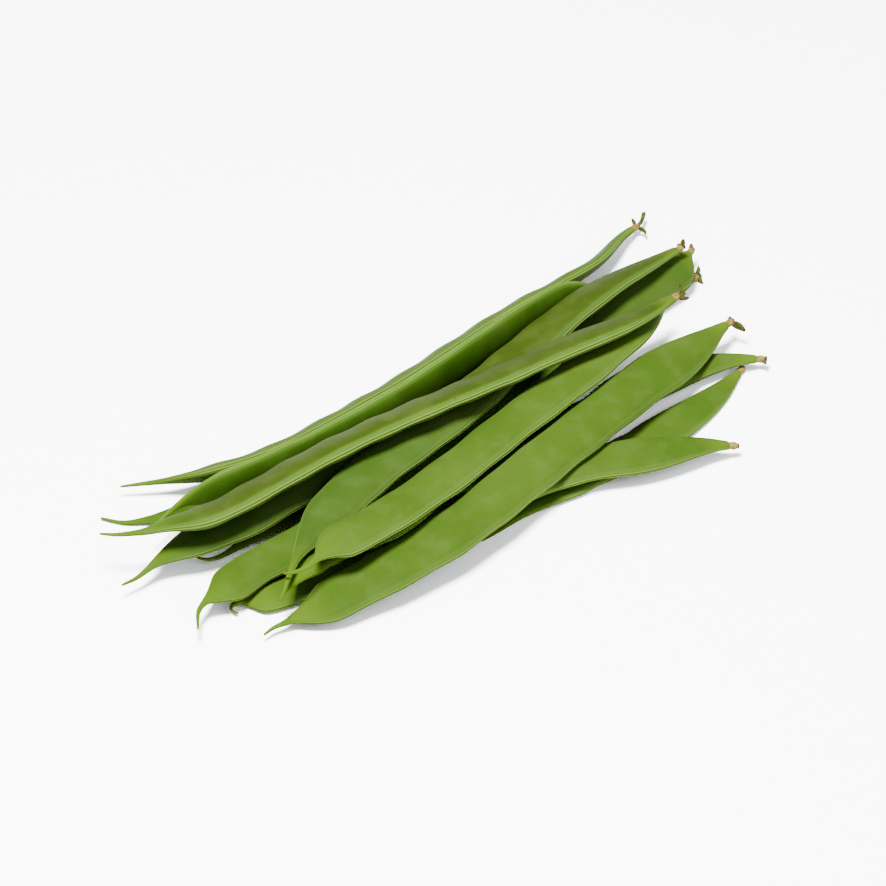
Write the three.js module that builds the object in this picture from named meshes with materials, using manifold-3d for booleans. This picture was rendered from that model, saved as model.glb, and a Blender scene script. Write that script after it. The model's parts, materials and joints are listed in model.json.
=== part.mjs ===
// A loose bunch of fresh flat green beans lying on a flat surface.
//
// Every bean is one swept solid: a thin beak, a flat pod that swells over each seed, and a neck.
// The dry calyx collar with its stalk stub closes the neck and is a solid of its own.
// The pods are listed from the surface upwards. A pod is laid on those below it: its course seen
// from above and its roll are given, and its height follows from what it lies on.
//
// Millimetres, +Z up, +X along the bunch towards the stalks, surface at z = 0.

import * as THREE from "three";
import { mergeVertices } from "three/addons/utils/BufferGeometryUtils.js";
import Module from "manifold-3d";

const wasm = await Module();
wasm.setup();

// ---- Driving dimensions -------------------------------------------------------------------

const POD_WIDTH = 17.5; // suture to suture
const POD_THICKNESS = 6.6; // face to face, between a seed and a gap
const SEED_SWELL = 0.13; // share of the thickness added at a seed and lost between two
const EDGE_WAVE = 0.065; // share of the width added at a seed and lost between two
const BEAK_LENGTH = 13; // thin part of the beak
const BEAK_TIP_RADIUS = 0.4;
const BEAK_ROOT_RADIUS = 1.0;
const NOSE_LENGTH = 26; // from the beak's root to the full width
const SHOULDER_LENGTH = 20; // from the full width to the neck
const NECK_RADIUS = 1.5;
const COLLAR_RADIUS = 1.85;
const COLLAR_LENGTH = 2.8;
const STALK_RADIUS = 0.8;
const TOUCH_GAP = 0.35; // clearance between two solids that touch
const SURFACE_PRESS = 1.0; // how far a pod's round underside is pressed flat on the surface
const SAG_RADIUS = 160; // tightest bend of a pod under its own weight
const CELL = 0.5; // pitch of the grid that holds the height of the heap
const STEPS_PER_COURSE = 160; // chords that a course is measured with

// Half section of a pod as shares of half the width and half the thickness: blunt suture edge,
// shoulder, face and crown. It is mirrored to make the whole ring.
const SECTION_QUARTER = [
  [1.0, 0.24],
  [0.9, 0.62],
  [0.52, 0.93],
];

// ---- The pods, from the surface upwards -----------------------------------------------------
//
// course: [x, y, roll, lift] from the beak's tip to the neck. roll turns the pod about its length
// in degrees; above 0 its far edge is raised, and 90 stands it on its edge. lift is how far it is
// held above what it would lie on.
// stalk: length and rise in mm, and the calyx lobes as [turn in degrees, length].
// width, thickness, beak, nose and shoulder stand in for the common dimension of that name.

const PODS = [
  {
    name: "pod_left_tip",
    seeds: 7,
    width: 15,
    thickness: 5.6,
    nose: 38,
    course: [
      [-119, 39.5, 0, 1],
      [-113.5, 32.5, 0],
      [-107, 28.5, 0],
      [-102, 26, 0],
      [-80, 19.5, 0],
      [-60, 17.5, 0],
      [-20, 15.5, 0],
      [10, 15.5, 0],
      [36, 16, 0],
      [52, 17, 0],
    ],
    stalk: { length: 4, rise: 0.5, lobes: [[40, 3]] },
  },
  {
    name: "pod_floor",
    seeds: 4,
    width: 15.5,
    thickness: 5.2,
    beak: 16,
    nose: 32,
    shoulder: 42,
    course: [
      [-20, -48.5, 0],
      [-8, -48, 0],
      [4, -47, 0],
      [14, -45.5, 0],
      [26, -44.5, 0],
      [50, -45, 0],
      [72.5, -43.5, 2],
      [91.5, -40.5, 6],
      [107.5, -35, 6],
    ],
    stalk: { length: 1.5, rise: 0, lobes: [[180, 2]] },
  },
  {
    name: "pod_rear",
    seeds: 9,
    width: 15.5,
    thickness: 5.2,
    nose: 24,
    shoulder: 36,
    course: [
      [-107, 45, 110],
      [-95, 37, 122],
      [-83.5, 30, 128],
      [-64, 25, 130],
      [-49, 24.5, 130],
      [-34.5, 25, 130],
      [3.5, 30, 130],
      [54, 37, 130],
      [80.5, 38.5, 130],
      [102.5, 40, 130],
      [114, 45.5, 128],
      [126, 49, 120],
    ],
    stalk: { length: 8, rise: 4, lobes: [[30, 3], [150, 4]] },
  },
  {
    name: "pod_rear_inner",
    seeds: 8,
    width: 15.5,
    thickness: 5.2,
    nose: 24,
    course: [
      [-114.5, 14, 60],
      [-104.5, 17, 75],
      [-95.5, 18, 85],
      [-81.5, 14.5, 88],
      [-57.5, 12.5, 88],
      [-8.5, 14, 88],
      [42, 21.5, 88],
      [75.5, 26.5, 88],
      [92, 27.5, 85],
    ],
    stalk: { length: 4, rise: 0.5, lobes: [[40, 3]] },
  },
  {
    name: "pod_front_low",
    seeds: 7,
    width: 15.5,
    thickness: 5.4,
    beak: 9,
    nose: 10,
    shoulder: 32,
    course: [
      [-108, -28.5, 0],
      [-109.5, -26, 0],
      [-108, -24, 0],
      [-104.5, -24.5, 0],
      [-97.5, -27.5, 0],
      [-90.5, -29.5, 0],
      [-80, -30.5, 0],
      [-60, -33, 0],
      [-30, -38, 0],
      [2, -41, 0],
      [22, -44, 3],
      [45.5, -54, 5],
      [66.5, -62, 3],
      [76, -67, 0],
    ],
    stalk: { length: 2, rise: 0.2, lobes: [[60, 2.5]] },
  },
  {
    name: "pod_back_under",
    seeds: 8,
    width: 14.5,
    thickness: 5.6,
    course: [
      [-102, -6.5, 0],
      [-99, -8, 0],
      [-93, -8, 0],
      [-85, -14, 0],
      [-75, -15, 0],
      [-50, -15.5, 0],
      [-25, -14.5, 0],
      [0, -11, 0],
      [25, -6, 0],
      [50, 1, 0],
      [77.5, 14, 0],
      [111.5, 15, 0],
      [127.5, 15.5, 0],
    ],
    stalk: { length: 2.5, rise: 0.5, lobes: [[5, 3], [70, 3]] },
  },
  {
    name: "pod_gap",
    seeds: 6,
    width: 15,
    thickness: 5.8,
    shoulder: 38,
    course: [
      [-26, -28.5, 0],
      [-14, -27.5, 0],
      [5, -25.5, 0],
      [50, -21.5, 0],
      [92, -26, 0],
      [108, -32, 0],
      [114.5, -36.5, 0],
    ],
    stalk: { length: 3, rise: 0.4, lobes: [[60, 3], [150, 3]] },
  },
  {
    name: "pod_back_broad",
    seeds: 8,
    width: 15.5,
    thickness: 6,
    shoulder: 12,
    course: [
      [-104.5, 2, 0, 1],
      [-102, -1.5, 0],
      [-98, -3, 0],
      [-90.5, -3, 0],
      [-75, 0, 0],
      [-50, 0, 0],
      [-20, 0, 0],
      [10, 1, 0],
      [50, 6, 5],
      [78.5, 9.5, 10],
      [96, 13, 18],
      [118, 16, 20],
      [130, 21, 18],
    ],
    stalk: { length: 2.5, rise: 0, lobes: [[-60, 3], [100, 3]] },
  },
  {
    name: "pod_left_under",
    seeds: 5,
    width: 15,
    thickness: 5.8,
    beak: 11,
    nose: 24,
    course: [
      [-134.5, 2.5, 0, 1],
      [-128, 2, 0],
      [-118, 3, 0],
      [-104.5, 1.5, 0],
      [-93.5, -1.5, 0],
      [-84.5, -2.5, 0],
      [-62, -0.5, 0],
      [-40, 0.5, 0],
      [-20, 1, 0],
      [-4, 1, 0],
    ],
    stalk: { length: 4, rise: 0.5, lobes: [[40, 3]] },
  },
  {
    name: "pod_hooked",
    seeds: 6,
    width: 15,
    thickness: 5.8,
    beak: 12,
    nose: 14,
    shoulder: 24,
    course: [
      [-126, -31, 0],
      [-124, -28, 0],
      [-121.5, -24.5, 0],
      [-117, -22.5, 0],
      [-111, -22, 5],
      [-104.5, -21, 8],
      [-98.5, -19.5, 8],
      [-87.5, -18.5, 8],
      [-80, -20, 5],
      [-66, -18, 0],
      [-50, -16.5, 0],
      [-20, -17, 0],
      [15, -17, 0],
      [42, -16, 0],
    ],
    stalk: { length: 4, rise: 0.5, lobes: [[40, 3]] },
  },
  {
    name: "pod_front",
    seeds: 8,
    width: 17.5,
    thickness: 6.2,
    beak: 9,
    nose: 20,
    shoulder: 34,
    course: [
      [-108, -43.5, 0],
      [-103.5, -43, 0],
      [-98.5, -44, 3],
      [-95, -44, 5],
      [-90.5, -45.5, 6],
      [-85, -46.5, 8],
      [-77, -47.5, 8],
      [-56, -50.5, 8],
      [-32.5, -50.5, 10],
      [14, -41.5, 15],
      [62.5, -31, 15],
      [97, -23.5, 10],
      [114, -20, 5],
    ],
    stalk: { length: 2, rise: 0, lobes: [[-40, 5], [60, 3]] },
  },
  {
    name: "pod_tucked",
    seeds: 5,
    width: 10.5,
    thickness: 5.8,
    beak: 6,
    nose: 14,
    shoulder: 24,
    course: [
      [-98, -39, 0],
      [-91, -37, 0],
      [-84, -34, 0],
      [-76, -32.5, 0],
      [-69, -32.5, 0],
      [-50, -33, 0],
      [-35, -32, 0],
      [-22, -31.5, 0],
    ],
    stalk: { length: 3, rise: 0.4, lobes: [[60, 3]] },
  },
  {
    name: "pod_crossing",
    seeds: 8,
    width: 17,
    thickness: 6.2,
    beak: 18,
    nose: 30,
    shoulder: 42,
    course: [
      [-102, -45, 10],
      [-98.5, -42.5, 10],
      [-94, -38.5, 10],
      [-89.5, -35, 10],
      [-83, -30.5, 8],
      [-74.5, -26, 5],
      [-65, -22, 5],
      [-49.5, -16.5, 5],
      [-37.5, -13.5, 5],
      [0.5, -6.5, 0],
      [44.5, 7.5, -15],
      [87, 16.5, -25],
      [110, 17, -25],
      [121.5, 18, -20],
    ],
    stalk: { length: 1.5, rise: 0.5, lobes: [[-90, 3.5], [-20, 3]] },
  },
  {
    name: "pod_middle",
    seeds: 7,
    width: 16.5,
    thickness: 6.2,
    beak: 13,
    nose: 14,
    shoulder: 24,
    course: [
      [-96, -38.5, 0],
      [-92.5, -41, 0],
      [-88, -41.5, 0],
      [-82, -40, 0],
      [-76, -38.5, 0],
      [-68.5, -38.5, 0],
      [-55, -38.5, -5],
      [-28, -34, -5],
      [9.5, -26, -5],
      [51.5, -18, -5],
      [97.5, -4, -5],
    ],
    stalk: { length: 4, rise: 0, lobes: [[40, 3]] },
  },
  {
    name: "pod_top",
    seeds: 9,
    width: 16.5,
    thickness: 6.4,
    beak: 13,
    nose: 28,
    shoulder: 48,
    course: [
      [-132.5, 18, -10],
      [-129, 13.5, -10],
      [-124.5, 10, -12],
      [-119, 6.5, -18],
      [-113.5, 5, -20],
      [-101.5, -1, -25],
      [-87, -2.5, -27],
      [-45.5, -4, -27],
      [6.5, -8, -27],
      [52.5, -12, -25],
      [77, -14.5, -20],
      [93.5, -13, -10],
    ],
    stalk: { length: 2, rise: 0.5, lobes: [[-70, 3.5], [20, 4], [100, 3.5]] },
  },
];

// ---- Helpers ----------------------------------------------------------------------------------

const radians = THREE.MathUtils.degToRad;

function smooth(x) {
  const t = Math.min(1, Math.max(0, x));
  return t * t * (3 - 2 * t);
}

// Points evenly spaced along the course, with the roll and the lift at each.
function readCourse(course) {
  const plan = new THREE.CatmullRomCurve3(
    course.map(([x, y]) => new THREE.Vector3(x, y, 0)),
    false,
    "centripetal",
  );
  const points = [];
  let length = 0;
  for (let i = 0; i <= STEPS_PER_COURSE; i += 1) {
    const t = i / STEPS_PER_COURSE;
    const point = plan.getPoint(t);
    if (i > 0) {
      length += point.distanceTo(points[i - 1].point);
    }
    const place = t * (course.length - 1);
    const knot = Math.min(course.length - 2, Math.floor(place));
    const share = smooth(place - knot);
    const [from, to] = [course[knot], course[knot + 1]];
    const roll = THREE.MathUtils.lerp(from[2], to[2], share);
    const lift = THREE.MathUtils.lerp(from[3] ?? 0, to[3] ?? 0, share);
    points.push({ point, length, roll, lift });
  }
  return points;
}

function courseAt(points, length) {
  let after = points.findIndex((entry) => entry.length >= length);
  if (after < 0) {
    after = points.length - 1;
  }
  after = Math.max(1, after);
  const [a, b] = [points[after - 1], points[after]];
  const share = (length - a.length) / (b.length - a.length);
  const centre = a.point.clone().lerp(b.point, share);
  const heading = Math.atan2(b.point.y - a.point.y, b.point.x - a.point.x);
  const roll = radians(THREE.MathUtils.lerp(a.roll, b.roll, Math.min(1, share)));
  const lift = THREE.MathUtils.lerp(a.lift, b.lift, Math.min(1, share));
  return { centre, heading, roll, lift, length };
}

// ---- One pod as a list of rings ---------------------------------------------------------------

function podRings(pod) {
  const points = readCourse(pod.course);
  const total = points.at(-1).length;
  const beak = pod.beak ?? BEAK_LENGTH;
  const noseLength = pod.nose ?? NOSE_LENGTH;
  const shoulderLength = pod.shoulder ?? SHOULDER_LENGTH;
  const halfWidth = (pod.width ?? POD_WIDTH) / 2;
  const halfThickness = (pod.thickness ?? POD_THICKNESS) / 2;
  const firstSeed = beak + noseLength * 0.85;
  const lastSeed = total - shoulderLength * 1.15;
  const pitch = (lastSeed - firstSeed) / (pod.seeds - 1);

  const places = [
    ...[0, 0.2, 0.45, 0.7, 1].map((share) => beak * share),
    ...[0.15, 0.35, 0.6].map((share) => beak + noseLength * share),
  ];
  for (let i = 0; i < pod.seeds; i += 1) {
    places.push(firstSeed + i * pitch);
    if (i < pod.seeds - 1) {
      places.push(firstSeed + (i + 0.5) * pitch);
    }
  }
  for (const share of [0.8, 0.5, 0.25, 0.08, 0]) {
    places.push(total - shoulderLength * share);
  }

  return places.map((length) => {
    const swell = Math.cos((2 * Math.PI * (length - firstSeed)) / pitch);
    const fromBeak = THREE.MathUtils.clamp((length - beak) / noseLength, 0, 1);
    const nose = Math.sin((Math.PI / 2) * fromBeak) ** 1.5;
    const fromNeck = Math.min(1, (total - length) / shoulderLength);
    const shoulder = Math.sin((Math.PI / 2) * fromNeck) ** 1.25;
    const body = nose * shoulder;
    const seedRoom = length >= firstSeed && length <= lastSeed ? 1 : 0;
    const beakRadius = THREE.MathUtils.lerp(
      BEAK_TIP_RADIUS,
      BEAK_ROOT_RADIUS,
      Math.min(1, length / beak),
    );
    const thinRadius = length < total / 2 ? beakRadius : NECK_RADIUS;
    const wave = seedRoom * swell;
    return {
      ...courseAt(points, length),
      halfWidth: THREE.MathUtils.lerp(thinRadius, halfWidth * (1 + EDGE_WAVE * wave), body),
      halfThickness: THREE.MathUtils.lerp(
        thinRadius,
        halfThickness * (1 + SEED_SWELL * wave),
        body,
      ),
    };
  });
}

// The ring's points in the upright plane across the course, round the pod's centre.
function podSection(ring) {
  const quarter = SECTION_QUARTER.map(([u, v]) => [u * ring.halfWidth, v * ring.halfThickness]);
  const upper = [...quarter, [0, ring.halfThickness], ...quarter.toReversed().map(([u, v]) => [-u, v])];
  const lower = upper.toReversed().map(([u, v]) => [u, -v]);
  return [...upper, ...lower].map(([u, v]) => placeInPlane(ring, u, v));
}

function placeInPlane(ring, u, v) {
  const across = u * Math.cos(ring.roll) - v * Math.sin(ring.roll);
  const up = u * Math.sin(ring.roll) + v * Math.cos(ring.roll);
  return new THREE.Vector3(
    ring.centre.x - across * Math.sin(ring.heading),
    ring.centre.y + across * Math.cos(ring.heading),
    ring.centre.z + up,
  );
}

// ---- One stalk as a list of rings -------------------------------------------------------------

const STALK_SIDES = 8;

function stalkRings(pod, neck) {
  const { length: reach, rise } = pod.stalk;
  const heading = new THREE.Vector3(Math.cos(neck.heading), Math.sin(neck.heading), 0);
  const profile = [
    [TOUCH_GAP, NECK_RADIUS * 0.96],
    [COLLAR_LENGTH * 0.45, COLLAR_RADIUS * 0.9],
    [COLLAR_LENGTH * 0.9, COLLAR_RADIUS],
    [COLLAR_LENGTH, STALK_RADIUS * 1.5],
    [COLLAR_LENGTH + reach * 0.5, STALK_RADIUS],
    [COLLAR_LENGTH + reach * 0.9, STALK_RADIUS * 1.15],
    [COLLAR_LENGTH + reach, STALK_RADIUS * 0.9],
  ];
  return profile.map(([along, radius]) => {
    const share = Math.max(0, along - COLLAR_LENGTH) / reach;
    const centre = neck.centre.clone().addScaledVector(heading, along);
    centre.z += rise * share * share;
    return { ...neck, centre, halfWidth: radius, halfThickness: radius * 0.92 };
  });
}

function stalkSection(ring) {
  const points = [];
  for (let i = 0; i < STALK_SIDES; i += 1) {
    const turn = (2 * Math.PI * (i + 0.5)) / STALK_SIDES;
    points.push(placeInPlane(ring, ring.halfWidth * Math.cos(turn), ring.halfThickness * Math.sin(turn)));
  }
  return points;
}

// ---- Rings to a closed geometry ---------------------------------------------------------------

function skin(sections) {
  const sides = sections[0].length;
  const positions = [];
  const addTriangle = (a, b, c) => {
    positions.push(a.x, a.y, a.z, b.x, b.y, b.z, c.x, c.y, c.z);
  };
  for (let ring = 0; ring < sections.length - 1; ring += 1) {
    const [near, far] = [sections[ring], sections[ring + 1]];
    for (let side = 0; side < sides; side += 1) {
      const next = (side + 1) % sides;
      addTriangle(near[side], far[next], far[side]);
      addTriangle(near[side], near[next], far[next]);
    }
  }
  const addCap = (section, facesBack) => {
    const middle = section.reduce((sum, point) => sum.add(point), new THREE.Vector3());
    middle.divideScalar(sides);
    for (let side = 0; side < sides; side += 1) {
      const next = (side + 1) % sides;
      if (facesBack) {
        addTriangle(middle, section[next], section[side]);
      } else {
        addTriangle(middle, section[side], section[next]);
      }
    }
  };
  addCap(sections[0], true);
  addCap(sections.at(-1), false);
  const geometry = new THREE.BufferGeometry();
  geometry.setAttribute("position", new THREE.Float32BufferAttribute(positions, 3));
  return geometry;
}

// ---- Laying a pod on the heap -----------------------------------------------------------------

const HEAP_X = { from: -190, cells: 760 };
const HEAP_Y = { from: -130, cells: 520 };
const heapHeight = new Float32Array(HEAP_X.cells * HEAP_Y.cells);

// Calls visit(cell, z) for every grid cell that the triangle covers or touches.
function overTriangle(a, b, c, visit) {
  const area = (b.x - a.x) * (c.y - a.y) - (c.x - a.x) * (b.y - a.y);
  if (Math.abs(area) < 1e-6) {
    return;
  }
  const slack = (CELL * 0.5 * Math.max(a.distanceTo(b), b.distanceTo(c), c.distanceTo(a))) / Math.abs(area);
  const low = Math.min(a.z, b.z, c.z);
  const high = Math.max(a.z, b.z, c.z);
  const column = (x) => Math.round((x - HEAP_X.from) / CELL);
  const row = (y) => Math.round((y - HEAP_Y.from) / CELL);
  const lastColumn = column(Math.max(a.x, b.x, c.x)) + 1;
  const lastRow = row(Math.max(a.y, b.y, c.y)) + 1;
  for (let i = column(Math.min(a.x, b.x, c.x)) - 1; i <= lastColumn; i += 1) {
    const x = HEAP_X.from + i * CELL;
    for (let j = row(Math.min(a.y, b.y, c.y)) - 1; j <= lastRow; j += 1) {
      const y = HEAP_Y.from + j * CELL;
      const shareB = ((x - a.x) * (c.y - a.y) - (c.x - a.x) * (y - a.y)) / area;
      const shareC = ((b.x - a.x) * (y - a.y) - (x - a.x) * (b.y - a.y)) / area;
      if (shareB >= -slack && shareC >= -slack && shareB + shareC <= 1 + slack) {
        const z = a.z + shareB * (b.z - a.z) + shareC * (c.z - a.z);
        visit(j * HEAP_X.cells + i, Math.min(high, Math.max(low, z)));
      }
    }
  }
}

function overBand(near, far, visit) {
  for (let side = 0; side < near.length; side += 1) {
    const next = (side + 1) % near.length;
    overTriangle(near[side], far[next], far[side], visit);
    overTriangle(near[side], near[next], far[next], visit);
  }
}

// Height of each ring's centre so that the pod lies on the heap, bent no tighter than it can.
// A band is the skin between two sections and the rings that its height depends on.
function settle(rings, bands) {
  const needed = rings.map(() => 0);
  for (const { near, far, holds } of bands) {
    let height = -SURFACE_PRESS - Math.min(...near.map((p) => p.z), ...far.map((p) => p.z));
    overBand(near, far, (cell, z) => {
      if (heapHeight[cell] > 0) {
        height = Math.max(height, heapHeight[cell] + TOUCH_GAP - z);
      }
    });
    for (const ring of holds) {
      needed[ring] = Math.max(needed[ring], height);
    }
  }
  const bent = rings.map((ring) =>
    Math.max(...rings.map((other, j) => needed[j] - (ring.length - other.length) ** 2 / (2 * SAG_RADIUS))),
  );
  const at = (list, i) => list[Math.min(list.length - 1, Math.max(0, i))];
  const widened = bent.map((height, i) => Math.max(at(bent, i - 1), height, at(bent, i + 1)));
  return widened.map((height, i) => (at(widened, i - 1) + 2 * height + at(widened, i + 1)) / 4);
}

function bandsOf(sections, holdsOf) {
  return sections.slice(0, -1).map((near, i) => ({ near, far: sections[i + 1], holds: holdsOf(i) }));
}

function addToHeap(sections) {
  for (let i = 0; i < sections.length - 1; i += 1) {
    overBand(sections[i], sections[i + 1], (cell, z) => {
      heapHeight[cell] = Math.max(heapHeight[cell], z);
    });
  }
}

function raise(sections, rings, heights) {
  return sections.map((section, i) =>
    section.map((point) => new THREE.Vector3(
      point.x,
      point.y,
      Math.max(0, point.z + heights[i] + rings[i].lift),
    )),
  );
}

// ---- Calyx lobes ------------------------------------------------------------------------------

const LOBE_WIDTH = 2.6;
const LOBE_THICKNESS = 0.8;

function toSolid(geometry) {
  const plain = geometry.index ? geometry.toNonIndexed() : geometry.clone();
  for (const name of Object.keys(plain.attributes)) {
    if (name !== "position") {
      plain.deleteAttribute(name);
    }
  }
  const merged = mergeVertices(plain, 1e-4);
  return new wasm.Manifold(
    new wasm.Mesh({
      numProp: 3,
      vertProperties: new Float32Array(merged.attributes.position.array),
      triVerts: new Uint32Array(merged.index.array),
    }),
  );
}

function toGeometry(solid) {
  const mesh = solid.getMesh();
  const geometry = new THREE.BufferGeometry();
  geometry.setAttribute("position", new THREE.Float32BufferAttribute(mesh.vertProperties, 3));
  geometry.setIndex(new THREE.Uint32BufferAttribute(mesh.triVerts, 1));
  return geometry.toNonIndexed();
}

// A pointed scrap of dry calyx that curls out and back from the collar's rim.
function lobe(rim, turn, length) {
  const geometry = new THREE.ConeGeometry(LOBE_WIDTH / 2, length, 5, 2);
  geometry.scale(1, 1, LOBE_THICKNESS / LOBE_WIDTH);
  geometry.translate(0, length * 0.36, 0);
  const frame = new THREE.Matrix4();
  const along = new THREE.Vector3(Math.cos(rim.heading), Math.sin(rim.heading), 0);
  const across = new THREE.Vector3(-along.y, along.x, 0);
  const outward = across.multiplyScalar(Math.cos(radians(turn)));
  outward.z = Math.sin(radians(turn));
  const direction = outward.clone().multiplyScalar(0.8).addScaledVector(along, 0.6).normalize();
  const side = new THREE.Vector3().crossVectors(outward, along).normalize();
  const face = new THREE.Vector3().crossVectors(side, direction).normalize();
  frame.makeBasis(side, direction, face);
  frame.setPosition(rim.centre.clone().addScaledVector(outward, COLLAR_RADIUS * 0.6));
  geometry.applyMatrix4(frame);
  return geometry;
}

// ---- Materials --------------------------------------------------------------------------------

const podGreen = { color: 0x7d9a3c, roughness: 0.5, metalness: 0 };
const calyxTan = { color: 0xa68b56, roughness: 0.8, metalness: 0 };

// ---- Assembly ---------------------------------------------------------------------------------

const bunch = new THREE.Group();

function addMesh(name, geometry, material) {
  const mesh = new THREE.Mesh(geometry, new THREE.MeshStandardMaterial(material));
  mesh.name = name;
  bunch.add(mesh);
}

function addBean(pod) {
  const rings = podRings(pod);
  const flat = rings.map(podSection);
  const stalk = stalkRings(pod, rings.at(-1));
  const stalkFlat = stalk.map(stalkSection);

  const neck = rings.length - 1;
  const heights = settle(rings, [
    ...bandsOf(flat, (i) => [i, i + 1]),
    ...bandsOf(stalkFlat, () => [neck]),
  ]);
  const podSections = raise(flat, rings, heights);
  const neckHeight = heights[neck];
  const stalkSections = raise(stalkFlat, stalk, stalk.map(() => neckHeight));
  addToHeap(podSections);
  addToHeap(stalkSections);
  addMesh(pod.name, skin(podSections), podGreen);

  let solid = toSolid(skin(stalkSections));
  const rim = { ...stalk[2], centre: stalk[2].centre.clone() };
  rim.centre.z += neckHeight + rim.lift;
  for (const [turn, length] of pod.stalk.lobes) {
    solid = solid.add(toSolid(lobe(rim, turn, length)));
  }
  addMesh(pod.name.replace("pod", "stalk"), toGeometry(solid), calyxTan);
}

for (const pod of PODS) {
  addBean(pod);
}

// The origin is under the middle of the bunch's box, on the surface.
const box = new THREE.Box3().setFromObject(bunch);
const middle = box.getCenter(new THREE.Vector3());
bunch.position.set(-middle.x, -middle.y, -box.min.z);

export default bunch;
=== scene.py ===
"""A loose bunch of flat green beans lying on a pale surface.

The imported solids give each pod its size, course and place. Here every pod gets its finished
skin: swellings over the seeds, the seam along both edges and a fresh green surface.
Every stalk gets its pale collar, the stub of the stalk and dry scraps of the calyx.
Lengths are in metres, +Z up, +X along the bunch towards the stalks.
"""

import json
import math

import bpy
import numpy as np
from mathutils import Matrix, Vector, noise

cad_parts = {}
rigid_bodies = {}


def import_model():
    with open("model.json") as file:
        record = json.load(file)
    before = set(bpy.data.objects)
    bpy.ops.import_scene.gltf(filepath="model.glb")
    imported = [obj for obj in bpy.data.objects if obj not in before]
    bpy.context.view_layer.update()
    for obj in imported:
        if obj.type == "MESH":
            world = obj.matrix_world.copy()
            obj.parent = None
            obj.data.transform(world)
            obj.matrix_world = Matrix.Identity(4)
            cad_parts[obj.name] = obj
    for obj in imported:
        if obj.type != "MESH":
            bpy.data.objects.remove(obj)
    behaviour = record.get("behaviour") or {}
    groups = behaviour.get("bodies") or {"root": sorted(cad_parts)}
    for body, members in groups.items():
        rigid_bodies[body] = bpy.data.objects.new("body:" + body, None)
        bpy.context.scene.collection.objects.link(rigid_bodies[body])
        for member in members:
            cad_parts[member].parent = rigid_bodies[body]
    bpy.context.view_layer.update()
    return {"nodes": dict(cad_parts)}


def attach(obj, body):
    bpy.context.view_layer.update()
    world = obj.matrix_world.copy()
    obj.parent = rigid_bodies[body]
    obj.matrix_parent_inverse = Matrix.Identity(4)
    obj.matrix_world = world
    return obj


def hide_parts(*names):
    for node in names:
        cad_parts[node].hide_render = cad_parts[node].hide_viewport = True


MM = 0.001

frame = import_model()


# ---- Camera ---------------------------------------------------------------------------------

VIEW_AIM = Vector((-1.02 * MM, 8.58 * MM, 0.0))  # the point on the surface it looks at
VIEW_ELEVATION = math.radians(42)
VIEW_TURN = math.radians(37)  # from +Y towards +X
VIEW_DISTANCE = 1.4
VIEW_LENS = 160.4  # mm
VIEW_SENSOR = 36  # mm wide
VIEW_CLIP = (0.05, 20)


def add_camera():
    forward = Vector((
        math.cos(VIEW_ELEVATION) * math.sin(VIEW_TURN),
        math.cos(VIEW_ELEVATION) * math.cos(VIEW_TURN),
        -math.sin(VIEW_ELEVATION),
    ))
    data = bpy.data.cameras.new("camera")
    data.lens = VIEW_LENS
    data.sensor_width = VIEW_SENSOR
    data.clip_start = VIEW_CLIP[0]
    data.clip_end = VIEW_CLIP[1]
    camera = bpy.data.objects.new("camera", data)
    camera.location = VIEW_AIM - forward * VIEW_DISTANCE
    camera.rotation_euler = forward.to_track_quat("-Z", "Y").to_euler()
    bpy.context.scene.collection.objects.link(camera)
    bpy.context.scene.camera = camera


add_camera()


# ---- Small helpers --------------------------------------------------------------------------

def make_active(piece):
    bpy.ops.object.select_all(action="DESELECT")
    piece.select_set(True)
    bpy.context.view_layer.objects.active = piece


def apply_modifier(piece, kind, **settings):
    make_active(piece)
    bpy.ops.object.modifier_add(type=kind)
    modifier = piece.modifiers[-1]
    for name, value in settings.items():
        setattr(modifier, name, value)
    bpy.ops.object.modifier_apply(modifier=modifier.name)


def smooth_step(value, low, high):
    share = np.clip((value - low) / (high - low), 0.0, 1.0)
    return share * share * (3 - 2 * share)


def ridge(value, centre, width):
    return np.exp(-(((value - centre) / width) ** 2))


# ---- Materials ------------------------------------------------------------------------------

# Sockets of the Mix node when it mixes colours. They share their names with others.
MIX_SHARE = 0
MIX_COLOUR_A = 6
MIX_COLOUR_B = 7
MIX_COLOUR_RESULT = 2


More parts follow.
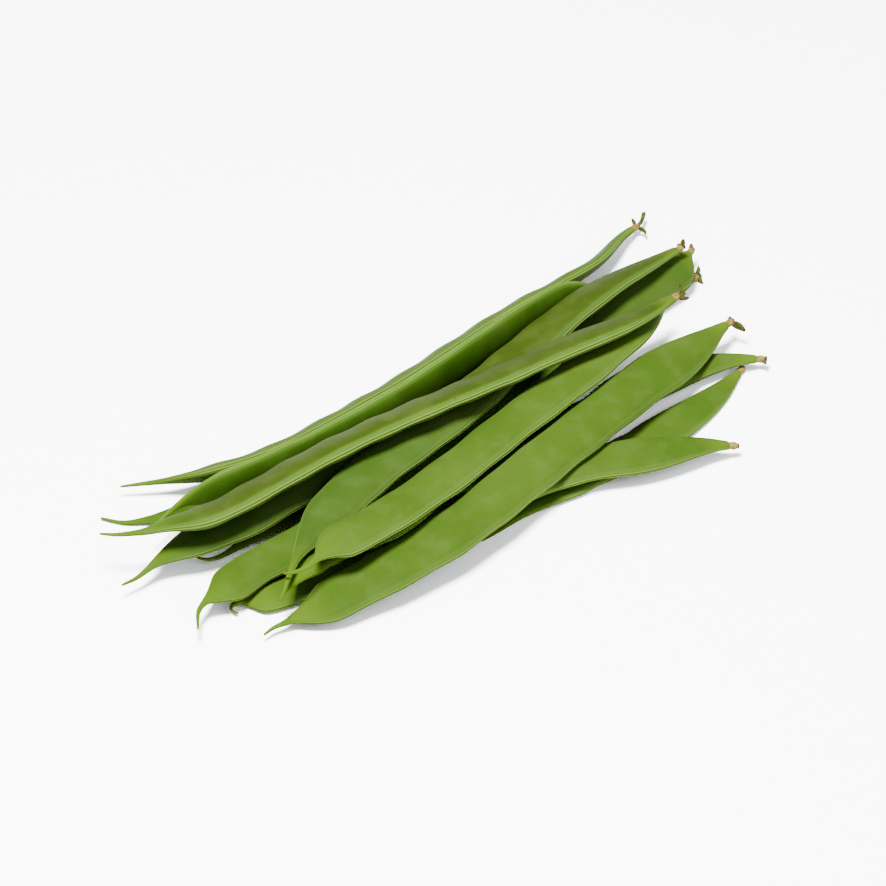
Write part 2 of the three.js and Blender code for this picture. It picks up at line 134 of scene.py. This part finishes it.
class Nodes:
    """Short names for the shader nodes that the finishes are built from."""

    def __init__(self, name):
        self.material = bpy.data.materials.new(name)
        self.material.use_nodes = True
        self.tree = self.material.node_tree
        self.shader = self.tree.nodes["Principled BSDF"]

    def add(self, kind, settings=(), **inputs):
        node = self.tree.nodes.new(kind)
        for name, value in dict(settings).items():
            setattr(node, name, value)
        for name, value in inputs.items():
            self.feed(node.inputs[name.replace("_", " ")], value)
        return node

    def feed(self, socket, value):
        if isinstance(value, bpy.types.NodeSocket):
            self.tree.links.new(value, socket)
        else:
            socket.default_value = value

    def attribute(self, name):
        return self.add("ShaderNodeAttribute", {"attribute_name": name}).outputs["Fac"]

    def place(self):
        return self.add("ShaderNodeTexCoord").outputs["Object"]

    def noise(self, vector, scale, detail, roughness=0.5):
        node = self.add(
            "ShaderNodeTexNoise", Vector=vector, Scale=scale, Detail=detail, Roughness=roughness,
        )
        return node.outputs["Fac"]

    def band(self, value, low, high, to_low=0.0, to_high=1.0):
        node = self.add("ShaderNodeMapRange", {"interpolation_type": "SMOOTHSTEP"})
        sockets = ("Value", "From Min", "From Max", "To Min", "To Max")
        for name, given in zip(sockets, (value, low, high, to_low, to_high)):
            self.feed(node.inputs[name], given)
        return node.outputs["Result"]

    def absolute(self, value):
        node = self.add("ShaderNodeMath", {"operation": "ABSOLUTE"})
        self.feed(node.inputs[0], value)
        return node.outputs[0]

    def times(self, a, b):
        node = self.add("ShaderNodeMath", {"operation": "MULTIPLY"})
        self.feed(node.inputs[0], a)
        self.feed(node.inputs[1], b)
        return node.outputs[0]

    def mix(self, share, a, b):
        node = self.add("ShaderNodeMix", {"data_type": "RGBA"})
        self.feed(node.inputs[MIX_SHARE], share)
        self.feed(node.inputs[MIX_COLOUR_A], a)
        self.feed(node.inputs[MIX_COLOUR_B], b)
        return node.outputs[MIX_COLOUR_RESULT]

    def bump(self, height, distance, strength, under=None):
        node = self.add("ShaderNodeBump", Height=height, Distance=distance, Strength=strength)
        if under is not None:
            self.feed(node.inputs["Normal"], under)
        return node.outputs["Normal"]

    def finish(self, **inputs):
        for name, value in inputs.items():
            self.feed(self.shader.inputs[name.replace("_", " ")], value)
        return self.material


# Greens of a pod: shade, body and bloom.
FRESH = ((0.0138, 0.0298, 0.0024, 1), (0.018, 0.0345, 0.0034, 1), (0.028, 0.048, 0.009, 1))
COOL = ((0.0116, 0.0256, 0.0028, 1), (0.0148, 0.029, 0.0038, 1), (0.024, 0.042, 0.009, 1))
DEEP = ((0.0096, 0.0256, 0.0014, 1), (0.0132, 0.03, 0.0022, 1), (0.022, 0.043, 0.006, 1))

# Painted shade: olive, with paler patches, for the flats of pods that turn away from the light.
PAINTED_SHADE_OLIVE = (0.0118, 0.0198, 0.002, 1)
PAINTED_SHADE_OLIVE_BLOOM = (0.016, 0.0255, 0.0036, 1)
PALE_SEAM = (0.065, 0.115, 0.014, 1)
SPECK = (0.006, 0.01, 0.001, 1)
BEAK = (0.032, 0.06, 0.002, 1)
BEAK_END = (0.035, 0.035, 0.003, 1)
NECK = (0.04, 0.066, 0.003, 1)

# A fade goes from its first value to its second. The two numbers after them are what it gives
# there, where that isn't 0 and 1.
CLOUD_SCALE = 26
CLOUD_FADE = (0.36, 0.66)
MOTTLE_SCALE = 120
MOTTLE_FADE = (0.42, 0.72, 0.0, 0.3)
GRAIN_SCALE = 1100
GRAIN_FADE = (0.5, 0.7, 0.0, 0.1)
PAINTED_SHADE_FADE = (0.35, 0.7)
SPECK_SCALE = 170
SPECK_FADE = (0.04, 0.09, 1, 0)
SPECK_AREA_SCALE = 60
SPECK_AREA_FADE = (0.64, 0.68)
ROUGHNESS_FADE = (0.3, 0.7, 0.4, 0.5)
SIDEWAYS_SHIFT = 0.7  # share of a pod's pattern shift that goes to the second direction
PAINTED_SHADE_RIM = (-0.95, -0.72)  # across the pod: from the bright near rim to the flat in painted olive shade
SEAM_START = (0.84, 0.97)  # across the pod
SEAM_LINE = (0.06, 0.12, 0.2, 0.3)  # through the thickness: the pale line fades in and out
SEAM_LIGHTER = (1.15, 1.15, 1.1)
SEAM_SHARE = 0.45
LINE_SHARE = 0.5
SPECK_SHARE = 0.6
BEAK_FADE = (0.006, 0.03)  # from the beak's tip
BEAK_END_FADE = (0.0, 0.004)
NECK_FADE = (0.001, 0.012)  # from the neck
BEAK_SHARE = 0.6
NECK_SHARE = 0.45
SKIN_GLOSS = 0.004
PORE_DEPTH = 0.03 * MM
MOTTLE_DEPTH = 0.1 * MM
RELIEF = 0.5


def pod_skin(name, tones, painted_shade_span, shift):
    """Fresh pod skin: soft patches of green, fine pores, a double pale line along each seam.

    Along the given span the flat of the pod is painted olive shade, as where it turns away from the
    light, while the rim on its near side stays bright.
    """
    shade, body, bloom = tones
    nodes = Nodes(name)
    place = nodes.add(
        "ShaderNodeMapping", Vector=nodes.place(), Location=(shift, SIDEWAYS_SHIFT * shift, 0),
    ).outputs["Vector"]
    along = nodes.attribute("along")
    to_neck = nodes.attribute("to_neck")
    side = nodes.attribute("across")
    across = nodes.absolute(side)
    facing = nodes.absolute(nodes.attribute("facing"))

    clouds = nodes.noise(place, CLOUD_SCALE, 2)
    mottle = nodes.noise(place, MOTTLE_SCALE, 3)
    grain = nodes.noise(place, GRAIN_SCALE, 2)
    colour = nodes.mix(nodes.band(clouds, *CLOUD_FADE), shade, body)
    colour = nodes.mix(nodes.band(mottle, *MOTTLE_FADE), colour, bloom)
    colour = nodes.mix(nodes.band(grain, *GRAIN_FADE), colour, bloom)

    # Painted shade: the flat turns olive along the span, away from the bright near rim.
    if painted_shade_span:
        olive = nodes.mix(nodes.band(mottle, *PAINTED_SHADE_FADE), PAINTED_SHADE_OLIVE, PAINTED_SHADE_OLIVE_BLOOM)
        flat = nodes.band(side, *PAINTED_SHADE_RIM)
        colour = nodes.mix(nodes.times(flat, nodes.band(along, *painted_shade_span)), colour, olive)

    seam_skin = (*(tone * lighter for tone, lighter in zip(bloom, SEAM_LIGHTER)), 1)
    near_seam = nodes.band(across, *SEAM_START)
    colour = nodes.mix(nodes.times(near_seam, SEAM_SHARE), colour, seam_skin)
    fade_in = nodes.band(facing, *SEAM_LINE[:2])
    fade_out = nodes.band(facing, *SEAM_LINE[2:], 1, 0)
    line = nodes.times(fade_in, fade_out)
    line_share = nodes.times(nodes.times(line, near_seam), LINE_SHARE)
    colour = nodes.mix(line_share, colour, PALE_SEAM)

    dots = nodes.add("ShaderNodeTexVoronoi", Vector=place, Scale=SPECK_SCALE)
    speck = nodes.band(dots.outputs["Distance"], *SPECK_FADE)
    rare = nodes.band(nodes.noise(place, SPECK_AREA_SCALE, 1), *SPECK_AREA_FADE)
    colour = nodes.mix(nodes.times(nodes.times(speck, rare), SPECK_SHARE), colour, SPECK)

    colour = nodes.mix(nodes.band(along, *BEAK_FADE, BEAK_SHARE, 0), colour, BEAK)
    colour = nodes.mix(nodes.band(along, *BEAK_END_FADE, BEAK_SHARE, 0), colour, BEAK_END)
    colour = nodes.mix(nodes.band(to_neck, *NECK_FADE, NECK_SHARE, 0), colour, NECK)

    pores = nodes.bump(grain, PORE_DEPTH, RELIEF)
    return nodes.finish(
        Base_Color=colour,
        Roughness=nodes.band(mottle, *ROUGHNESS_FADE),
        Normal=nodes.bump(mottle, MOTTLE_DEPTH, RELIEF, pores),
        Specular_IOR_Level=SKIN_GLOSS,
    )


COLLAR_TONES = ((0.056, 0.038, 0.007, 1), (0.108, 0.072, 0.019, 1))
SCRAP_TONES = ((0.012, 0.014, 0.0014, 1), (0.03, 0.032, 0.004, 1))
DRY_SCALE = 700
DRY_MOTTLE = (0.35, 0.65)
DRY_EDGE = (0.25, 0.75)  # from the collar to the scraps
DRY_ROUGHNESS = 0.75
DRY_GLOSS = 0.05
DRY_DEPTH = 0.12 * MM
DRY_RELIEF = 0.8


def calyx_skin():
    """Pale tan collar that turns into dark olive-brown scraps where the calyx has dried."""
    nodes = Nodes("calyx_dry")
    place = nodes.place()
    dry = nodes.attribute("dry")
    mottle = nodes.noise(place, DRY_SCALE, 3, 0.6)
    collar = nodes.mix(nodes.band(mottle, *DRY_MOTTLE), *COLLAR_TONES)
    scrap = nodes.mix(nodes.band(mottle, *DRY_MOTTLE), *SCRAP_TONES)
    return nodes.finish(
        Base_Color=nodes.mix(nodes.band(dry, *DRY_EDGE), collar, scrap),
        Roughness=DRY_ROUGHNESS,
        Normal=nodes.bump(mottle, DRY_DEPTH, DRY_RELIEF),
        Specular_IOR_Level=DRY_GLOSS,
    )


# ---- Pods -----------------------------------------------------------------------------------

SECTION_POINTS = 14
NOSE_RINGS = 8  # sections before the first seed
SHOULDER_RINGS = 5  # sections after the last seed
RINGS_A_SEED = 2  # sections from one seed to the next
CLEARLY_FLAT = 1.35  # a section this many times wider than thick shows how it is turned
WELD_DISTANCE = 0.002 * MM
SMALLEST = 1e-6  # keeps the sections at the two ends from dividing by nothing
SKIN_LEVELS = 3

SEED_RISE = 0.28 * MM
SEAM_RIDGE = 0.2 * MM
SEAM_GROOVE = 0.14 * MM
UNEVENNESS = 0.28 * MM
FINE_UNEVENNESS = 0.06 * MM
UNEVENNESS_SCALE = 34
FINE_UNEVENNESS_SCALE = 120
SEED_WIDTH = 0.3  # share of the pitch of the seeds
SEED_LEVEL = 0.4  # taken off the swelling again, so that the skin sinks between seeds
BODY_END = (0.008, 0.025)  # from the neck: where the seeds and the unevenness die out
SEAM_EDGE = (0.9, 0.99)  # across the pod
SEAM_FROM_TIP = (0.004, 0.014)
SEAM_FROM_NECK = (0.003, 0.012)
RIDGE_PLACE = 0.17  # through the thickness, on both sides of the groove
RIDGE_WIDTH = 0.08
GROOVE_WIDTH = 0.07
SURFACE_CLEARANCE = 0.02 * MM


def merged_copy(name, node):
    piece = bpy.data.objects.new(name, frame["nodes"][node].data.copy())
    bpy.context.scene.collection.objects.link(piece)
    make_active(piece)
    bpy.ops.mesh.customdata_custom_splitnormals_clear()
    bpy.ops.object.mode_set(mode="EDIT")
    bpy.ops.mesh.select_all(action="SELECT")
    bpy.ops.mesh.remove_doubles(threshold=WELD_DISTANCE)
    bpy.ops.mesh.mark_sharp(clear=True)
    bpy.ops.object.mode_set(mode="OBJECT")
    return piece


def read_rings(mesh):
    """Vertex numbers of each section from the beak's tip to the neck, with the two end points."""
    near = [set() for _ in mesh.vertices]
    for edge in mesh.edges:
        a, b = edge.vertices
        near[a].add(b)
        near[b].add(a)
    ends = [i for i, others in enumerate(near) if len(others) == SECTION_POINTS]
    rings = [[min(ends, key=lambda i: mesh.vertices[i].co.x)]]
    seen = set(rings[0])
    while len(seen) < len(near):
        rings.append(sorted({j for i in rings[-1] for j in near[i]} - seen))
        seen.update(rings[-1])
    return rings


def read_sections(mesh, rings):
    """Centre, length along the pod, width direction and half sizes of every section."""
    points = [np.array([mesh.vertices[i].co for i in ring]) for ring in rings]
    centres = np.array([ring.mean(axis=0) for ring in points])
    lengths = np.concatenate([[0], np.cumsum(np.linalg.norm(np.diff(centres, axis=0), axis=1))])
    headings = np.gradient(centres[:, :2], axis=0)
    sections = []
    for ring, centre, heading in zip(points, centres, headings):
        level = np.array([-heading[1], heading[0], 0]) / np.linalg.norm(heading)
        flat = np.column_stack([(ring - centre) @ level, ring[:, 2] - centre[2]])
        spread, axes = np.linalg.eigh(flat.T @ flat)
        wide = math.sqrt(spread[1]) > CLEARLY_FLAT * math.sqrt(max(spread[0], SMALLEST ** 2))
        turn = math.atan2(axes[1, 1], axes[0, 1]) if wide else None
        sections.append({"centre": centre, "level": level, "turn": turn})
    known = [i for i, section in enumerate(sections) if section["turn"] is not None]
    if math.cos(sections[known[0]]["turn"]) < 0:
        sections[known[0]]["turn"] += math.pi  # the width runs from the near side to the far side
    for i, section in enumerate(sections):
        section["turn"] = sections[min(known, key=lambda k: abs(k - i))]["turn"]
    for i, section in enumerate(sections):
        turn = section["turn"]
        if i and math.cos(turn - sections[i - 1]["turn"]) < 0:
            turn += math.pi
        section["turn"] = turn
        up = np.array([0, 0, 1])
        section["width_way"] = math.cos(turn) * section["level"] + math.sin(turn) * up
        section["face_way"] = -math.sin(turn) * section["level"] + math.cos(turn) * up
        offsets = points[i] - section["centre"]
        section["half_width"] = max(SMALLEST, np.abs(offsets @ section["width_way"]).max())
        section["half_thickness"] = max(SMALLEST, np.abs(offsets @ section["face_way"]).max())
        section["length"] = lengths[i]
    return sections


POINT_VALUES = ("along", "to_neck", "across", "facing")


def write_attributes(mesh, rings, sections):
    """How far along, across and through the pod each point lies."""
    values = {name: np.zeros(len(mesh.vertices)) for name in POINT_VALUES}
    for ring, section in zip(rings, sections):
        for i in ring:
            offset = np.array(mesh.vertices[i].co) - section["centre"]
            values["along"][i] = section["length"]
            values["to_neck"][i] = sections[-1]["length"] - section["length"]
            values["across"][i] = offset @ section["width_way"] / section["half_width"]
            values["facing"][i] = offset @ section["face_way"] / section["half_thickness"]
    for name, numbers in values.items():
        attribute = mesh.attributes.new(name, "FLOAT", "POINT")
        attribute.data.foreach_set("value", numbers.astype(np.float32))


def read_attribute(mesh, name):
    numbers = np.zeros(len(mesh.vertices), np.float32)
    mesh.attributes[name].data.foreach_get("value", numbers)
    return numbers.astype(float)


def shape_skin(mesh, seeds, seed_pitch, shift):
    """Moves each point in or out: over the seeds, along the seams and a little all over."""
    along, to_neck, across, facing = (read_attribute(mesh, name) for name in POINT_VALUES)
    points = np.zeros(len(mesh.vertices) * 3)
    normals = np.zeros(len(mesh.vertices) * 3)
    mesh.vertices.foreach_get("co", points)
    mesh.vertices.foreach_get("normal", normals)
    points = points.reshape(-1, 3)
    normals = normals.reshape(-1, 3)

    body = smooth_step(along, 0.5 * seeds[0], seeds[0]) * smooth_step(to_neck, *BODY_END)
    wave = np.zeros(len(along))
    for seed in seeds:
        wave = np.maximum(wave, ridge(along, seed, SEED_WIDTH * seed_pitch))
    off_the_edges = 1 - np.clip(np.abs(across), 0, 1) ** 3
    move = SEED_RISE * (wave - SEED_LEVEL) * body * off_the_edges

    seam = smooth_step(np.abs(across), *SEAM_EDGE) * smooth_step(along, *SEAM_FROM_TIP)
    seam *= smooth_step(to_neck, *SEAM_FROM_NECK)
    edge = np.abs(facing)
    ridges = SEAM_RIDGE * ridge(edge, RIDGE_PLACE, RIDGE_WIDTH)
    groove = SEAM_GROOVE * ridge(edge, 0, GROOVE_WIDTH)
    move += seam * (ridges - groove)

    for i, point in enumerate(points):
        coarse = UNEVENNESS * noise.noise(Vector(point * UNEVENNESS_SCALE + shift))
        fine = FINE_UNEVENNESS * noise.noise(Vector(point * FINE_UNEVENNESS_SCALE + shift))
        move[i] += body[i] * (coarse + fine)
    points += normals * move[:, None]
    points[:, 2] = np.maximum(points[:, 2], SURFACE_CLEARANCE)
    mesh.vertices.foreach_set("co", points.ravel())
    mesh.update()


def finish_pod(short_name, tones, painted_shade_span, shift):
    node = "pod_" + short_name
    piece = merged_copy("bean_" + short_name, node)
    rings = read_rings(piece.data)
    sections = read_sections(piece.data, rings)
    write_attributes(piece.data, rings, sections)
    bpy.ops.object.mode_set(mode="EDIT")
    bpy.ops.mesh.tris_convert_to_quads(
        face_threshold=math.pi, shape_threshold=math.pi, topology_influence=0.5,
    )
    bpy.ops.object.mode_set(mode="OBJECT")
    apply_modifier(piece, "SUBSURF", levels=SKIN_LEVELS, render_levels=SKIN_LEVELS)
    seed_rings = range(NOSE_RINGS + 1, len(rings) - 1 - SHOULDER_RINGS, RINGS_A_SEED)
    seeds = [sections[i]["length"] for i in seed_rings]
    shape_skin(piece.data, seeds, seeds[1] - seeds[0], shift)
    make_active(piece)
    bpy.ops.object.shade_smooth()
    piece.data.materials.clear()
    piece.data.materials.append(pod_skin("skin_" + short_name, tones, painted_shade_span, shift))
    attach(piece, "root")
    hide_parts(node)
    return sections


PODS = {
    "left_tip": DEEP,
    "floor": FRESH,
    "rear": FRESH,
    "rear_inner": DEEP,
    "front_low": FRESH,
    "back_under": DEEP,
    "gap": FRESH,
    "back_broad": COOL,
    "left_under": COOL,
    "hooked": FRESH,
    "front": FRESH,
    "tucked": DEEP,
    "crossing": COOL,
    "middle": FRESH,
    "top": FRESH,
}
# Spans of painted olive shade on the two pods whose flats turn away from the light.
PAINTED_SHADE_SPANS = {"crossing": (0.09, 0.13), "top": (0.02, 0.04)}  # from the tip of the beak
PATTERN_SHIFT = 3.1  # from one pod to the next, so that no two look alike

pod_sections = {}
for number, (short_name, tones) in enumerate(PODS.items()):
    pod_sections[short_name] = finish_pod(
        short_name, tones, PAINTED_SHADE_SPANS.get(short_name), PATTERN_SHIFT * number,
    )


# ---- Stalks -----------------------------------------------------------------------------------

# Rings of the collar as [distance past the neck, radius] in mm. It starts inside the neck.
COLLAR = (
    (-0.8, 0.9),
    (-0.2, 1.25),
    (0.6, 1.38),
    (1.3, 1.46),
    (1.9, 1.43),
    (2.3, 1.28),
    (2.5, 1.0),
)
COLLAR_SIDES = 16
STUB_STEPS = 4
STUB_FLARE = 1.25  # the broken end of the stub is this much wider
STUB_TIP = (0.25, 0.6)  # length in mm and narrowing of its last step
SCRAP_SIDES = 8
SCRAP_THICKNESS = 1.2  # mm
SCRAP_START = 0.7  # share of the width at the collar
SCRAP_WIDTHS = (0.9, 1.0, 0.95, 0.8, 0.55, 0.25)  # shares of the width from there to the point
SCRAP_ROOT = (2.2, 0.7)  # mm past the neck and mm out from its middle
DRY_FADE = 0.8 * MM
STALK_LEVELS = 2
STALK_SKIN = calyx_skin()

# stub: length and radius in mm, and how far it bends upwards and to the left, in degrees.
# scraps: for each piece of the dry calyx its turn about the stub (0 to the left, 90 up), its lean
# away from it, length and width in mm, and its curl. Angles are in degrees.
PLAIN_END = {"stub": (1.2, 0.8, 0, 0), "scraps": ((40, 50, 3.0, 1.6, 60),)}
STALKS = {
    "left_tip": PLAIN_END,
    "floor": {"stub": (0.5, 1.0, 0, 0), "scraps": ()},
    "rear": {
        "stub": (8.0, 0.8, 42, 40),
        "scraps": ((190, 50, 5.5, 2.0, 120), (50, 75, 3.0, 1.8, 40), (330, 60, 2.0, 1.8, 20)),
    },
    "rear_inner": PLAIN_END,
    "front_low": {"stub": (0.7, 0.95, 0, 0), "scraps": ()},
    "back_under": {
        "stub": (1.5, 0.85, 5, 0),
        "scraps": ((60, 30, 4.0, 2.4, 70), (192, 78, 3.0, 2.4, 30), (0, 60, 2.4, 2.0, 40)),
    },
    "gap": {"stub": (1.0, 1.1, -5, 0), "scraps": ((190, 50, 2.0, 2.0, 20),)},
    "back_broad": {"stub": (1.0, 0.9, 0, 0), "scraps": ((60, 30, 2.4, 2.2, 40),)},
    "left_under": PLAIN_END,
    "hooked": PLAIN_END,
    "front": {
        "stub": (0.9, 0.9, 0, 0),
        "scraps": ((200, 58, 5.8, 4.2, 35), (20, 30, 2.0, 2.2, 30)),
    },
    "tucked": PLAIN_END,
    "crossing": {
        "stub": (1.2, 0.85, 0, 0),
        "scraps": ((90, 65, 3.4, 2.4, 40), (0, 60, 2.2, 2.0, 30)),
    },
    "middle": {"stub": (0.9, 0.8, 0, 0), "scraps": ()},
    "top": {
        "stub": (1.4, 0.85, 5, 0),
        "scraps": (
            (80, 24, 4.6, 2.0, 95),
            (20, 14, 4.0, 2.0, 40),
            (205, 50, 4.4, 2.2, -45),
            (150, 20, 3.0, 1.8, 60),
        ),
    },
}


def turn_selected(axis, angle, centre):
    bpy.ops.transform.rotate(
        value=-angle, orient_axis=axis, orient_type="GLOBAL", center_override=centre,
    )


def grow(step, toward, centre, scale, turns=()):
    """Extrudes the selected end cap one step on, then turns and resizes it about its new centre."""
    bpy.ops.mesh.extrude_region_move(TRANSFORM_OT_translate={"value": toward * step})
    centre = centre + toward * step
    for axis, angle in turns:
        turn_selected(axis, angle, centre)
    bpy.ops.transform.resize(value=(scale, scale, scale), center_override=centre)
    return centre


def add_end_cap(sides, radius, place):
    bpy.ops.mesh.select_all(action="DESELECT")
    bpy.ops.mesh.primitive_circle_add(
        vertices=sides, radius=radius * MM, fill_type="NGON",
        location=place, rotation=(0, math.pi / 2, 0),
    )


def model_collar(stub):
    """Grows the collar ring by ring and then the stub, which bends as it goes."""
    length, radius, rise, aside = stub
    centre = Vector((COLLAR[0][0] * MM, 0, 0))
    ahead = Vector((1, 0, 0))
    for before, after in zip(COLLAR, COLLAR[1:]):
        centre = grow((after[0] - before[0]) * MM, ahead, centre, after[1] / before[1])
    last_radius = COLLAR[-1][1]
    up = math.radians(rise) / STUB_STEPS
    left = math.radians(aside) / STUB_STEPS
    for step in range(STUB_STEPS):
        target = radius * (STUB_FLARE if step == STUB_STEPS - 1 else 1.0)
        turns = (("Y", -up), ("Z", left))
        centre = grow(length / STUB_STEPS * MM, ahead, centre, target / last_radius, turns)
        last_radius = target
        turned = (step + 1) / STUB_STEPS
        pitch = math.radians(rise) * turned
        yaw = math.radians(aside) * turned
        level = math.cos(pitch)
        ahead = Vector((level * math.cos(yaw), level * math.sin(yaw), math.sin(pitch)))
    tip_length, narrowing = STUB_TIP
    grow(tip_length * MM, ahead, centre, narrowing)


def model_scrap(turn, lean, length, width, curl):
    """A flat tapering strip that curls as it goes, set on the collar's rim."""
    centre = Vector((0, 0, 0))
    add_end_cap(SCRAP_SIDES, 1, centre)
    flat = (1, width / 2 * SCRAP_START, SCRAP_THICKNESS / 2)
    bpy.ops.transform.resize(value=flat, center_override=centre)
    steps = len(SCRAP_WIDTHS)
    bend = math.radians(curl) / steps
    heading = 0.0
    last = SCRAP_START
    for share in SCRAP_WIDTHS:
        ahead = Vector((math.cos(heading), 0, math.sin(heading)))
        centre = grow(length / steps * MM, ahead, centre, share / last, (("Y", -bend),))
        last = share
        heading += bend
    bpy.ops.mesh.select_linked()
    turn_selected("Y", -math.radians(lean), (0, 0, 0))
    bpy.ops.transform.translate(value=(SCRAP_ROOT[0] * MM, 0, SCRAP_ROOT[1] * MM))
    turn_selected("X", math.radians(turn - 90), (0, 0, 0))


def finish_stalk(short_name, shape):
    node = "stalk_" + short_name
    neck = pod_sections[short_name][-1]["centre"]
    ahead = neck - pod_sections[short_name][-3]["centre"]  # over the last two steps of the pod
    heading = math.atan2(ahead[1], ahead[0])
    slope = math.atan2(ahead[2], math.hypot(ahead[0], ahead[1]))
    bpy.ops.object.select_all(action="DESELECT")
    bpy.ops.mesh.primitive_circle_add(
        vertices=COLLAR_SIDES, radius=COLLAR[0][1] * MM, fill_type="NGON",
        location=(0, 0, 0), rotation=(0, math.pi / 2, 0),
    )
    piece = bpy.context.active_object
    piece.name = "end_" + short_name
    bpy.ops.object.transform_apply(location=True, rotation=True, scale=True)
    bpy.ops.object.mode_set(mode="EDIT")
    bpy.ops.mesh.select_all(action="SELECT")
    bpy.ops.transform.translate(value=(COLLAR[0][0] * MM, 0, 0))
    model_collar(shape["stub"])
    bpy.ops.object.mode_set(mode="OBJECT")
    collar_points = len(piece.data.vertices)
    bpy.ops.object.mode_set(mode="EDIT")
    for scrap in shape["scraps"]:
        model_scrap(*scrap)
    bpy.ops.mesh.select_all(action="SELECT")
    turn_selected("Y", -slope, (0, 0, 0))
    turn_selected("Z", heading, (0, 0, 0))
    bpy.ops.transform.translate(value=Vector(neck))
    bpy.ops.mesh.normals_make_consistent(inside=False)
    bpy.ops.object.mode_set(mode="OBJECT")
    mesh = piece.data
    # The collar and the stub were made first, so their points come first. The rest are scraps.
    dry = np.ones(len(mesh.vertices))
    for i in range(collar_points):
        beyond = (mesh.vertices[i].co - Vector(neck)).length - COLLAR[-1][0] * MM
        dry[i] = smooth_step(beyond, 0.0, DRY_FADE)
    mesh.attributes.new("dry", "FLOAT", "POINT").data.foreach_set("value", dry)
    apply_modifier(piece, "SUBSURF", levels=STALK_LEVELS, render_levels=STALK_LEVELS)
    # A collar that would dip below the surface is raised until it lies on it.
    sunk = min(0.0, min(vertex.co.z for vertex in mesh.vertices))
    bpy.ops.object.mode_set(mode="EDIT")
    bpy.ops.mesh.select_all(action="SELECT")
    bpy.ops.transform.translate(value=(0, 0, -sunk))
    bpy.ops.object.mode_set(mode="OBJECT")
    bpy.ops.object.shade_smooth()
    mesh.materials.append(STALK_SKIN)
    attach(piece, "root")
    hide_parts(node)


for short_name, shape in STALKS.items():
    finish_stalk(short_name, shape)


# ---- Floor and light ------------------------------------------------------------------------

FLOOR_SIZE = 6
FLOOR_COLOUR = (0.94, 0.94, 0.96, 1)
FLOOR_ROUGHNESS = 0.7
ROOM_COLOUR = (0.9, 0.93, 1.0, 1)
ROOM_STRENGTH = 1.05


def add_floor():
    bpy.ops.mesh.primitive_plane_add(size=FLOOR_SIZE, location=(0, 0, 0))
    floor = bpy.context.active_object
    floor.name = "floor"
    nodes = Nodes("floor_white")
    floor.data.materials.append(
        nodes.finish(Base_Color=FLOOR_COLOUR, Roughness=FLOOR_ROUGHNESS)
    )


def add_light(name, place, size, power, colour):
    data = bpy.data.lights.new(name, "AREA")
    data.shape = "DISK"
    data.size = size
    data.energy = power
    data.color = colour
    light = bpy.data.objects.new(name, data)
    light.location = place
    light.rotation_euler = (-Vector(place)).to_track_quat("-Z", "Y").to_euler()
    bpy.context.scene.collection.objects.link(light)


def add_world():
    world = bpy.data.worlds.new("room")
    world.use_nodes = True
    background = world.node_tree.nodes["Background"]
    background.inputs["Color"].default_value = ROOM_COLOUR
    background.inputs["Strength"].default_value = ROOM_STRENGTH
    bpy.context.scene.world = world


add_floor()
add_world()
add_light("window", place=(-0.28, -0.1, 1.25), size=0.38, power=160, colour=(1, 0.99, 0.97))
add_light("fill", place=(0.5, -0.9, 0.9), size=0.9, power=20, colour=(1, 1, 1))
